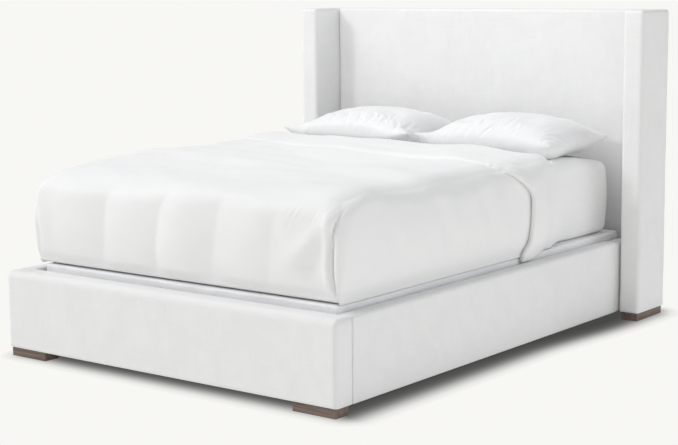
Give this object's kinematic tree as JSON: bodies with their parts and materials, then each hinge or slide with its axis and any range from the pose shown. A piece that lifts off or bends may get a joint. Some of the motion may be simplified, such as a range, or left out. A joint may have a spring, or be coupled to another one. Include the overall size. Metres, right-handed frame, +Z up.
{
  "type": "upholstered headboard bed",
  "caption": "Queen bed with a tall winged headboard, padded rails and footboard in white linen, block feet, raised deck, mattress, turned-down duvet and pillows.",
  "frame": {"origin": "on the floor, at the middle of the whole bed's width and length", "axes": "+X to the right seen from the foot, +Y towards the headboard, +Z up"},
  "size_m": [1.935, 2.354, 1.397],
  "materials": {
    "linen_upholstery": "white linen-look upholstery weave",
    "deck_cloth": "pale cool-grey platform cloth",
    "bed_linen": "white cotton bed linen",
    "foam": "upholstery foam",
    "dust_cloth": "black non-woven dust cloth",
    "timber": "sawn softwood",
    "plywood": "sanded plywood",
    "weathered_wood": "weathered grey-brown solid wood",
    "black_steel": "black painted steel",
    "black_plastic": "moulded plastic"
  },
  "bodies": {
    "bed_frame": {"back_beam_hanger": "black_steel", "back_centre_leg": "timber", "back_deck_board": "plywood", "back_left_bracket": "black_steel", "back_left_end_bolt": "black_steel", "back_left_foot": "weathered_wood", "back_left_rail_bolt": "black_steel", "back_leg_leveller": "black_plastic", "back_right_bracket": "black_steel", "back_right_end_bolt": "black_steel", "back_right_foot": "weathered_wood", "back_right_rail_bolt": "black_steel", "centre_beam": "timber", "deck_cover": "deck_cloth", "deck_foam": "foam", "footboard_core": "timber", "footboard_cover": "linen_upholstery", "front_beam_hanger": "black_steel", "front_centre_leg": "timber", "front_deck_board": "plywood", "front_left_bracket": "black_steel", "front_left_end_bolt": "black_steel", "front_left_foot": "weathered_wood", "front_left_rail_bolt": "black_steel", "front_leg_leveller": "black_plastic", "front_right_bracket": "black_steel", "front_right_end_bolt": "black_steel", "front_right_foot": "weathered_wood", "front_right_rail_bolt": "black_steel", "headboard_board": "plywood", "headboard_cover": "linen_upholstery", "headboard_dust_cover": "dust_cloth", "headboard_foam": "foam", "left_rail_core": "timber", "left_rail_cover": "linen_upholstery", "left_slat_cleat": "timber", "left_wing_core": "timber", "left_wing_cover": "linen_upholstery", "middle_centre_leg": "timber", "middle_leg_leveller": "black_plastic", "right_rail_core": "timber", "right_rail_cover": "linen_upholstery", "right_slat_cleat": "timber", "right_wing_core": "timber", "right_wing_cover": "linen_upholstery", "slat_1": "timber", "slat_2": "timber", "slat_3": "timber", "slat_4": "timber", "slat_5": "timber", "slat_6": "timber", "slat_7": "timber", "slat_8": "timber", "slat_9": "timber"},
    "mattress_set": {"mattress": "foam", "fitted_sheet": "bed_linen", "duvet": "bed_linen", "duvet_turned_fold": "bed_linen"},
    "left_pillow_body": {"left_pillow": "bed_linen"},
    "right_pillow_body": {"right_pillow": "bed_linen"}
  },
  "joints": [
    {"name": "mattress_lift", "type": "slide", "parent": "bed_frame", "child": "mattress_set", "axis": [0, 0, 1], "range_m": [0, 1.05]},
    {"name": "left_pillow_lift", "type": "slide", "parent": "mattress_set", "child": "left_pillow_body", "axis": [0, 0, 1], "range_m": [0, 0.7]},
    {"name": "right_pillow_lift", "type": "slide", "parent": "mattress_set", "child": "right_pillow_body", "axis": [0, 0, 1], "range_m": [0, 0.7]}
  ]
}
